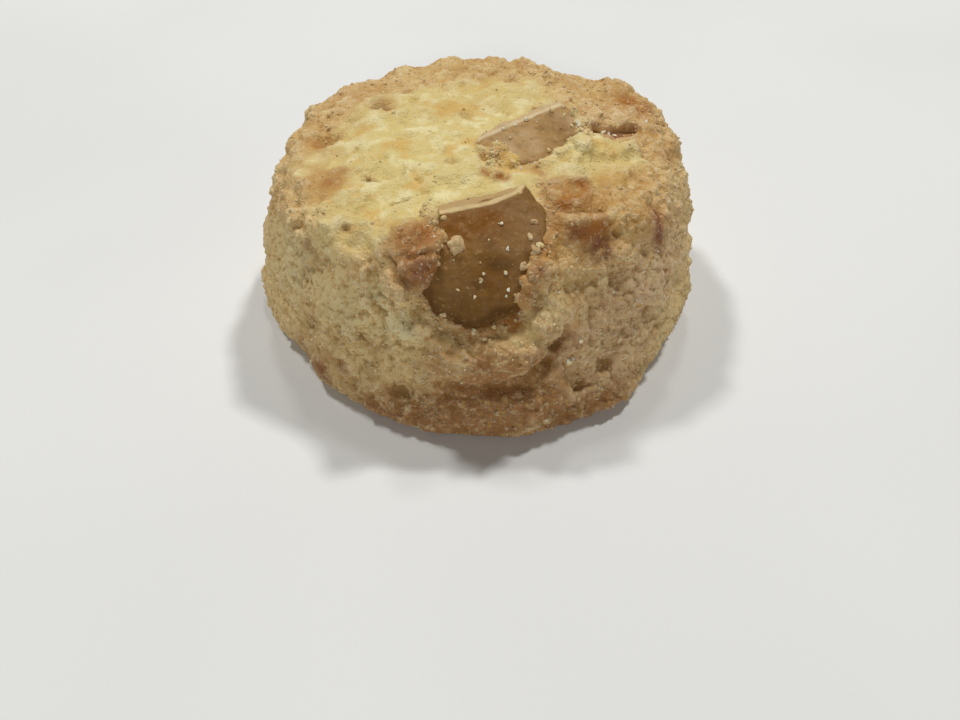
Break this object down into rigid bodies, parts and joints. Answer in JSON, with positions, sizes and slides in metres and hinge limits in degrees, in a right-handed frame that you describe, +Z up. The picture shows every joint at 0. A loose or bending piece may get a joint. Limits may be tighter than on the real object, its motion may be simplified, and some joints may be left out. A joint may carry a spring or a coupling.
{
  "type": "shortbread biscuit",
  "caption": "Thick round shortbread biscuit with tapering crumbly walls, a slightly domed top and diced candied fruit set in the dough.",
  "frame": {"origin": "under the middle of the biscuit's box, on its flat base", "axes": "+Z up through the biscuit from its base to its top, -Y towards the side with the large fruit piece in its edge, +X to the right seen from that side"},
  "size_m": [0.0552, 0.0536, 0.0235],
  "materials": {
    "baked_dough": "matt, crumbly, pale yellow on top and golden brown round the rim and wall",
    "candied_fruit_front": "smooth amber, slightly see-through, satin",
    "candied_fruit_back": "smooth pale amber brown, sugar-dusted, satin"
  },
  "bodies": {
    "root": {"shortbread": "baked_dough", "candied_chunk_front": "candied_fruit_front", "candied_chunk_back": "candied_fruit_back"}
  },
  "joints": []
}
